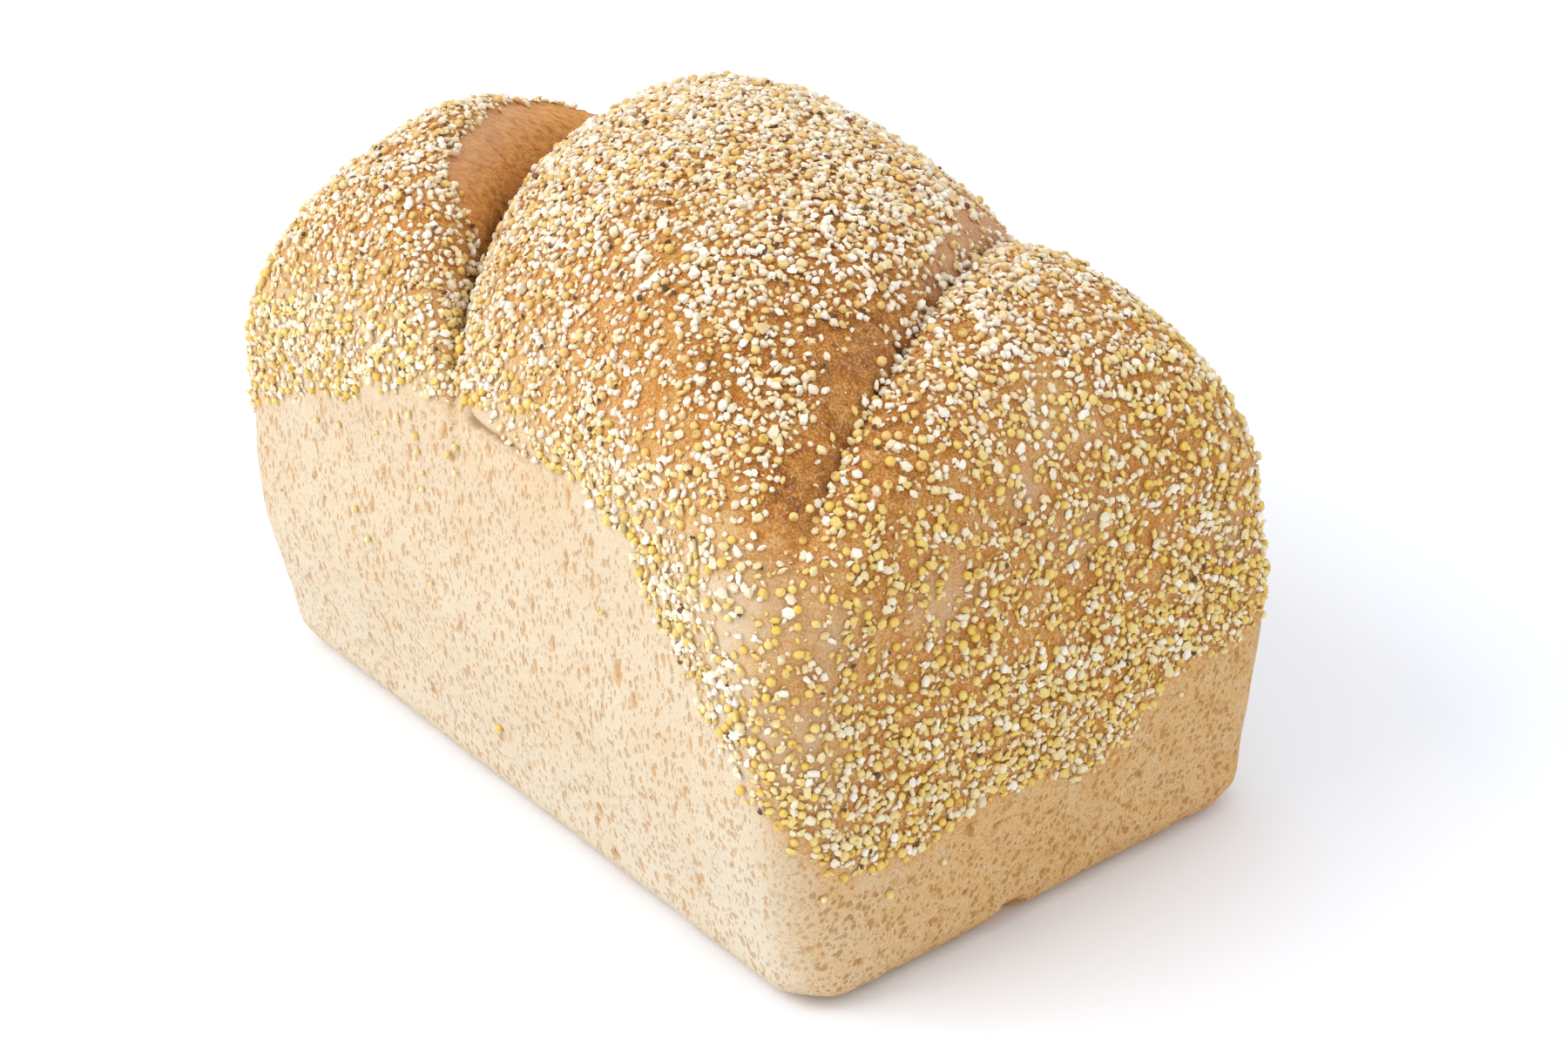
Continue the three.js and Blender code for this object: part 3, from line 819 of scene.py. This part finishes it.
# %% Strays on the wall, at (way round, height): a row in the corner of cleft A, and single ones
STRAYS = [
    (408, 78), (410.5, 74.5), (411, 71.5), (412, 67.5), (411.5, 64), (421.5, 75), (423.5, 76),
    (386, 50), (390, 45), (413, 45), (427.5, 19), (470, 63), (424, 72), (404, 76), (400, 73.5),
    (396, 70), (381, 66), (372, 64), (520, 26), (533, 21), (545, 22), (30, 33), (52, 40),
]
stray_way, stray_height = np.array(STRAYS, float).T
stray_share = np.concatenate([stray_way, stray_way - RIM_WAY / 2]) / RIM_WAY % 1
stray_height = np.concatenate([stray_height, stray_height])
stray_at = crust_point(stray_share, level_at(stray_share, stray_height))
on_side = np.abs(stray_at[:, 1:2]) > RIM_HALF[1] - 4
stray_facing = np.sign(stray_at) * np.where(on_side, (0, 1, 0), (1, 0, 0))
stray_size = random.uniform(0.65, 1.05, len(stray_at))
grain["stray_grain"] = lay(
    "stray_grain", "whole_grain", millet_shapes * random.uniform(0.6, 1, (24, 1, 3)), millet_faces,
    stray_at, stray_facing, stray_size, 0.5 + 0 * stray_size, random,
    tint=random.random(len(stray_at)), toast=0 * stray_size,
)
# Cracked faces meet in sharp edges. Whole millet stays smooth.
SHARP_FROM = np.radians(32)
for name, made in grain.items():
    if name not in ("whole_millet", "stray_grain"):
        made.data.set_sharp_from_angle(angle=SHARP_FROM)

# %% [markdown]
# ## Colour and nodes
#
# Colours are written as the hex values that a colour picker shows, and one function turns them
# into the linear light that a renderer reckons in. One small function adds a node with its settings
# and its links, so that each material below reads as a list of what happens to the colour.

# %% Helpers for materials
def linear(colour):
    """sRGB hex as linear light: ((v + 0.055) / 1.055)^2.4, or v / 12.92 for the darkest values."""
    v = np.array([int(colour[start:start + 2], 16) for start in (1, 3, 5)]) / 255
    return (*np.where(v > 0.04045, ((v + 0.055) / 1.055) ** 2.4, v / 12.92).tolist(), 1.0)


def node(tree, kind, inputs, output=0, **settings):
    """Adds one node and returns one of its outputs. Settings go by name. Each input is given the
    value or the output that feeds it."""
    made = tree.nodes.new("ShaderNode" + kind)
    for name, value in settings.items():
        setattr(made, name, value)
    for name, value in inputs.items():
        if isinstance(value, bpy.types.NodeSocket):
            tree.links.new(value, made.inputs[name])
        else:
            made.inputs[name].default_value = value
    return made.outputs[output] if made.outputs else None


def per_mm(size):
    """The scale of a pattern on coordinates in metres whose features are `size` mm apart."""
    return 1 / (size * MM)


def empty_material(name):
    """A material without nodes, and its tree."""
    material = bpy.data.materials.new(name)
    material.use_nodes = True
    material.node_tree.nodes.clear()
    return material, material.node_tree


# The inputs and the output of a Mix node that mixes colours
FROM, TO, MIXED = 6, 7, 2

# %% [markdown]
# ## The finish of the crust
#
# Baked bread crust is a dry, matt shell. Where the dough met the tin it is cream to tan and set
# with pores whose tan inside is partly their own colour and partly painted shade. Where it rose
# free it browned by degrees and is mottled, since each blister of the skin took the heat
# differently. The stretched skin of the bare flank is streaked aslant, the way it was drawn.
# Painted shade darkens the clefts, the holes and the gap of the tear. All of it is one material
# that reads how brown each point is, so there is no line where the two crusts meet.

# %% Its browning: cream, tan, golden brown and dark
crust_finish, tree = empty_material("Baked bread crust")
place = node(tree, "TexCoord", {}, "Object")
CRUST_NUMBERS = ("brown", "ends", "pore", "tin_baked", "patch", "patch_edge", "rosy", "flour", "dark")
brown, ends, pore, tin_baked, patch, patch_edge, rosy, flour, dark = (
    node(tree, "Attribute", {}, "Fac", attribute_name=label) for label in CRUST_NUMBERS
)
# Three patterns by the size of their features in mm
blotches, freckles, grit = (
    node(tree, "TexNoise", {
        "Vector": place, "Scale": per_mm(size), "Detail": detail, "Roughness": roughness,
    })
    for size, detail, roughness in ((4.5, 5.0, 0.65), (1.2, 4.0, 0.7), (0.42, 2.0, 0.6))
)
blotchy, freckled = (
    node(tree, "MapRange", {
        "Value": pattern, "From Min": 0.3, "From Max": 0.7, "To Min": -most, "To Max": most,
    })
    for pattern, most in ((blotches, 0.3), (freckles, 0.36))
)
unevenly = node(tree, "Math", {0: blotchy, 1: freckled}, operation="ADD")
grainy = node(tree, "Math", {0: tin_baked, 1: -0.55, 2: 1.0}, operation="MULTIPLY_ADD")
grainy_brown = node(tree, "Math", {0: brown, 1: grainy}, operation="MULTIPLY")
unevenly = node(tree, "Math", {0: unevenly, 1: grainy_brown}, operation="MULTIPLY")
baked = node(tree, "Math", {0: brown, 1: unevenly}, operation="ADD", use_clamp=True)

CRUST_TONES = [
    (0.06, "#DACFB8"), (0.3, "#D6AC70"), (0.55, "#CA8838"), (0.8, "#A4641E"), (1.0, "#6A3A10"),
]
tones = tree.nodes.new("ShaderNodeValToRGB")
tree.links.new(baked, tones.inputs["Fac"])
while len(tones.color_ramp.elements) < len(CRUST_TONES):
    tones.color_ramp.elements.new(0.5)
for element, (at, tone) in zip(tones.color_ramp.elements, CRUST_TONES):
    element.position = at
    element.color = linear(tone)
colour = tones.outputs["Color"]

# %% Its pinkish bloom, its pale and its browned flecks, and flour dust
bloom = node(tree, "TexNoise", {"Vector": place, "Scale": per_mm(12), "Detail": 3.0})
# A pattern, the two values of it between which an amount changes, and the least and the most of it
pinkish, pale_fleck, browned_fleck, dusty = (
    node(tree, "MapRange", {
        "Value": pattern, "From Min": start, "From Max": end, "To Min": least, "To Max": most,
    })
    for pattern, start, end, least, most in (
        (bloom, 0.52, 0.75, 0.0, 0.2), (grit, 0.52, 0.64, 0.0, 0.4),
        (grit, 0.48, 0.36, 0.0, 0.9), (blotches, 0.35, 0.6, 0.1, 0.62),
    )
)
browner = node(tree, "Math", {0: grainy_brown, 1: 0.08}, operation="ADD")
pinkish, browned_fleck, dusty = (
    node(tree, "Math", {0: amount, 1: where}, operation="MULTIPLY")
    for amount, where in ((pinkish, brown), (browned_fleck, browner), (dusty, flour))
)
for amount, tone in (
    (pinkish, "#CF9F84"), (pale_fleck, "#EBD0AA"), (browned_fleck, "#A8641F"), (dusty, "#D6C3A6"),
):
    colour = node(tree, "Mix", {0: amount, FROM: colour, TO: linear(tone)}, MIXED, data_type="RGBA")

# %% Its finest pores: upright slits on the sides, slanting and rounder ones on the ends
def fine_pores(vector, spacing, radius):
    """1 in round pits and 0 between them: near the random points of a cell pattern, which gives the
    distance as a share of the cells' spacing. Blotches make the pits larger in some places."""
    distance = node(tree, "TexVoronoi", {"Vector": vector, "Scale": per_mm(spacing)})
    nearer = node(tree, "Math", {0: blotches, 1: -0.2, 2: distance}, operation="MULTIPLY_ADD")
    nearer = node(tree, "Math", {0: freckles, 1: -0.35, 2: nearer}, operation="MULTIPLY_ADD")
    rim = radius / spacing
    return node(
        tree, "MapRange", {"Value": nearer, "From Min": rim - 0.275, "From Max": 0.5 * rim - 0.275},
        interpolation_type="SMOOTHSTEP",
    )


SLIT_LEAN, PORE_LEAN = np.radians([4, 25]).tolist()
upright = node(tree, "Mapping", {
    "Vector": place, "Scale": (1, 1, 0.45), "Rotation": (0, SLIT_LEAN, 0),
})
leaning = node(tree, "Mapping", {"Vector": place, "Rotation": (PORE_LEAN, 0, 0)})
leaning = node(tree, "Mapping", {"Vector": leaning, "Scale": (1, 1, 0.7)})
PORES = [(0.8, 0.24, 0.6), (1.35, 0.38, 0.9), (2.5, 0.6, 1.0)]    # spacing and radius in mm, and depth
fine = None
for spacing, radius, depth in PORES:
    slit, rounded = fine_pores(upright, spacing, radius), fine_pores(leaning, spacing, 1.08 * radius)
    layer = node(tree, "Mix", {0: ends, 2: slit, 3: rounded})
    layer = node(tree, "Math", {0: layer, 1: depth}, operation="MULTIPLY")
    fine = layer if fine is None else node(tree, "Math", {0: fine, 1: layer}, operation="MAXIMUM")
fine = node(tree, "Math", {0: fine, 1: tin_baked}, operation="MULTIPLY")
# Pores cut into the surface and the finest ones take a tan that is partly their own colour and partly
# painted shade.
cut = node(tree, "MapRange", {
    "Value": pore, "From Min": 0.02, "From Max": 0.6, "To Min": 0.0, "To Max": 0.7,
})
clearer = node(tree, "Math", {0: ends, 1: 0.12, 2: 0.66}, operation="MULTIPLY_ADD")
tan_and_shaded_pore = node(tree, "Math", {0: fine, 1: clearer}, operation="MULTIPLY")
tan_and_shaded_pore = node(tree, "Math", {0: tan_and_shaded_pore, 1: cut}, operation="MAXIMUM")
pore_tan_and_shade = node(
    tree, "Mix", {0: ends, FROM: linear("#CE9148"), TO: linear("#B57D3A")}, MIXED, data_type="RGBA",
)
colour = node(tree, "Mix", {0: tan_and_shaded_pore, FROM: colour, TO: pore_tan_and_shade}, MIXED, data_type="RGBA")

# %% Its stretched skin, and the painted shade of the clefts, the holes and the tear
SKIN_TURN = np.radians(30)
aslant = node(tree, "Mapping", {"Vector": place, "Rotation": (SKIN_TURN, 0, 0)})
stretched = node(tree, "Mapping", {"Vector": aslant, "Scale": (1.2, 0.45, 1.2)})
streaks = node(tree, "TexNoise", {
    "Vector": stretched, "Scale": per_mm(1.3), "Detail": 5.0, "Roughness": 0.7,
})
streak = node(tree, "MapRange", {"Value": streaks, "From Min": 0.42, "From Max": 0.68})
skin = node(
    tree, "Mix", {0: streak, FROM: linear("#ECAE60"), TO: linear("#BC6C2C")}, MIXED, data_type="RGBA",
)
reddened, curled = (
    node(tree, "Math", {0: amount, 1: 0.5}, operation="MULTIPLY") for amount in (rosy, patch_edge)
)
# The last mix darkens the clefts, the holes and the tear's gap as painted shade.
for amount, tone in (
    (patch, skin), (reddened, linear("#DDB295")), (curled, linear("#D9A263")), (dark, linear("#7E4A18")),
):
    colour = node(tree, "Mix", {0: amount, FROM: colour, TO: tone}, MIXED, data_type="RGBA")

# %% Its roughness and its finest relief
rough = node(tree, "Math", {0: freckles, 1: grit}, operation="ADD")
rougher = node(tree, "Math", {0: brown, 1: 0.12}, operation="ADD")
rough = node(tree, "Math", {0: rough, 1: rougher}, operation="MULTIPLY")
shallow = node(tree, "Math", {0: fine, 1: 0.5}, operation="MULTIPLY")
relief = node(tree, "Math", {0: rough, 1: shallow}, operation="SUBTRACT")
bump = node(tree, "Bump", {"Height": relief, "Strength": 0.9, "Distance": 0.65 * MM})
surface = node(tree, "BsdfPrincipled", {
    "Base Color": colour, "Roughness": 0.75, "Specular IOR Level": 0.2, "Normal": bump,
})
node(tree, "OutputMaterial", {"Surface": surface})
for crust in (tin_crust, dome_crust):
    crust.data.materials.append(crust_finish)

# %% [markdown]
# ## The finish of the grain
#
# Husked millet has a smooth, slightly waxy skin, so it is the only thing here with a soft gloss. It
# is bright yellow and turns golden where it was toasted. Cracked grain shows its floury inside,
# which is white to cream and quite matt. Every grain is golden at its foot as painted warm
# reflection from the browned crust and painted shade.

# %% Millet and cracked grain
def grain_finish(name, pale, full, toasted, foot_shade_tone, spot_tone, roughness):
    """A grain's finish: from pale to full by its tint, towards toasted by its toast, golden at the
    foot as painted reflection and shade, a spot at one pole, and a faint mottling half a
    millimetre wide."""
    material, tree = empty_material(name)
    place = node(tree, "TexCoord", {}, "Object")
    tint, toast, foot, spot = (
        node(tree, "Attribute", {}, "Fac", attribute_name=label)
        for label in ("tint", "toast", "foot", "spot")
    )
    mottle = node(tree, "TexNoise", {"Vector": place, "Scale": per_mm(0.6), "Detail": 2.0})
    shade = node(tree, "MapRange", {
        "Value": mottle, "From Min": 0.3, "From Max": 0.7, "To Min": 0.9, "To Max": 1.05,
    })
    colour = linear(pale)
    for amount, tone, blend in (
        (tint, linear(full), "MIX"), (toast, linear(toasted), "MIX"), (foot, linear(foot_shade_tone), "MIX"),
        (1.0, shade, "MULTIPLY"), (spot, linear(spot_tone), "MIX"),
    ):
        inputs = {0: amount, FROM: colour, TO: tone}
        colour = node(tree, "Mix", inputs, MIXED, data_type="RGBA", blend_type=blend)
    surface = node(tree, "BsdfPrincipled", {
        "Base Color": colour, "Roughness": roughness, "Specular IOR Level": 0.4,
    })
    node(tree, "OutputMaterial", {"Surface": surface})
    return material


# The finish's name, its pale, full and toasted colours, the foot's painted reflection and shade, the
# spot's colour, and roughness
GRAIN_LOOKS = {
    "whole_millet": ("Husked millet", "#F0DE98", "#EBC85C", "#E2BA74", "#CE9840", "#B08236", 0.42),
    "white_grits": ("Cracked white grain", "#F8F6EC", "#F4EFDC", "#F4EEE0", "#D9AA66", "#F0E8D2", 0.6),
    "ivory_grits": ("Cracked ivory grain", "#F1EAD2", "#EDE2BE", "#EDE0C6", "#D29C50", "#EBDFBC", 0.6),
    "cream_grits": ("Cracked cream grain", "#EEE2B4", "#E8D49A", "#E8D2A4", "#CC9240", "#E8D69C", 0.6),
    "stray_grain": ("Pale cracked millet", "#F3E6B4", "#E8CC76", "#E6C890", "#D0A050", "#E6C878", 0.5),
    "yellow_grits": ("Cracked yellow grain", "#ECDA94", "#E6C868", "#E2BF80", "#C68C34", "#E6CA6E", 0.55),
    "grain_crumbs": ("Crushed grain", "#ECE0C4", "#E0C28A", "#E4CAA0", "#D9A660", "#E8D6A6", 0.7),
    "dark_seeds": ("Dark seed hull", "#86603E", "#553A2A", "#6A4630", "#553A28", "#3A281C", 0.5),
    "bran_flakes": ("Bran flake", "#E8D2A4", "#D6B67C", "#DCC08C", "#C79A5A", "#D6B67C", 0.7),
}
for kind, look in GRAIN_LOOKS.items():
    grain[kind].data.materials.append(grain_finish(*look))

# %% [markdown]
# ## Floor, light and camera
#
# The loaf stands on a plain white sweep in bright, soft daylight, a little more of it from the
# left. The camera looks down on the near corner through a longish lens.

# %% Floor
FLOOR_HALF = 3.0
floor_mesh = bpy.data.meshes.new("floor")
floor_corners = [(x * FLOOR_HALF, y * FLOOR_HALF, 0) for x, y in ((-1, -1), (1, -1), (1, 1), (-1, 1))]
floor_mesh.from_pydata(floor_corners, [], [(0, 1, 2, 3)])
floor = into_scene("floor", floor_mesh)
paper, tree = empty_material("White paper sweep")
surface = node(tree, "BsdfPrincipled", {
    "Base Color": linear("#F5F7FC"), "Roughness": 0.9, "Specular IOR Level": 0.1,
})
node(tree, "OutputMaterial", {"Surface": surface})
floor_mesh.materials.append(paper)

# %% Light
MIDDLE_OF_LOAF = Vector((0, 0, 60)) * MM


def soft_light(name, azimuth, elevation, distance, size, power, colour):
    """A square light that faces the loaf, at an azimuth round it and an elevation over it in
    degrees. Its distance and its size are in metres, and its power in watts."""
    light = bpy.data.lights.new(name, "AREA")
    light.shape = "SQUARE"
    light.size = size
    light.energy = power
    light.color = linear(colour)[:3]
    made = into_scene(name, light)
    turn, rise = np.radians([azimuth, elevation])
    away = Vector((np.sin(turn) * np.cos(rise), -np.cos(turn) * np.cos(rise), np.sin(rise)))
    made.location = MIDDLE_OF_LOAF + away * distance
    made.rotation_euler = away.to_track_quat("Z", "Y").to_euler()


world = bpy.data.worlds.new("daylight")
world.use_nodes = True
world.node_tree.nodes["Background"].inputs["Color"].default_value = linear("#FBFCFF")
world.node_tree.nodes["Background"].inputs["Strength"].default_value = 1.04
bpy.context.scene.world = world
soft_light("window", -20, 44, 1.3, 0.8, 8.0, "#FFFDFA")
bpy.context.scene.view_settings.view_transform = "Standard"

# %% Camera
AZIMUTH, ELEVATION, ROLL = np.radians([54.1, 28.1, -3.2])
DISTANCE = 534 * MM
TARGET = Vector((18.9, -0.8, 50)) * MM
FOCAL_PIXELS, PHOTO_WIDTH, SENSOR = 3265, 1800, 36

level = np.cos(ELEVATION)
back = Vector((np.sin(AZIMUTH) * level, -np.cos(AZIMUTH) * level, np.sin(ELEVATION)))
right = Vector((np.cos(AZIMUTH), np.sin(AZIMUTH), 0))
up = back.cross(right)
rolled_right = right * np.cos(ROLL) + up * np.sin(ROLL)
rolled_up = up * np.cos(ROLL) - right * np.sin(ROLL)
lens = bpy.data.cameras.new("camera")
lens.sensor_width = SENSOR
lens.lens = FOCAL_PIXELS / PHOTO_WIDTH * SENSOR
lens.clip_start = 0.01
camera = into_scene("camera", lens)
axes = Matrix((rolled_right, rolled_up, back)).transposed().to_4x4()
camera.matrix_world = Matrix.Translation(TARGET + back * DISTANCE) @ axes
bpy.context.scene.camera = camera
